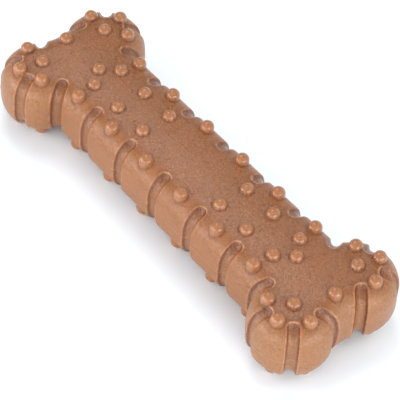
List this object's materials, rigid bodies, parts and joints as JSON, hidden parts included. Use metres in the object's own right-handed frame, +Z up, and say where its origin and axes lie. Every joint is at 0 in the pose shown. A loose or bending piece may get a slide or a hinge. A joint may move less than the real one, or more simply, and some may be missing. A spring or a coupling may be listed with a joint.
{
  "type": "dog chew bone",
  "caption": "Bone-shaped dog chew with domed nubs on its flat faces and rounded grooves over its sides, moulded as halves closed over an inner core.",
  "frame": {"origin": "on the ground under the middle of the bone, as it lies on the tips of its lower nubs", "axes": "+X along the bone, +Y across it, +Z up out of the upper flat face"},
  "size_m": [0.1838, 0.0634, 0.0316],
  "materials": {
    "bone_plastic": "satin tan-brown moulded nylon with fine specks",
    "core_plastic": "plain darker brown moulding, hidden inside"
  },
  "bodies": {
    "root": {"upper_half": "bone_plastic", "lower_half": "bone_plastic", "core": "core_plastic"}
  },
  "joints": []
}
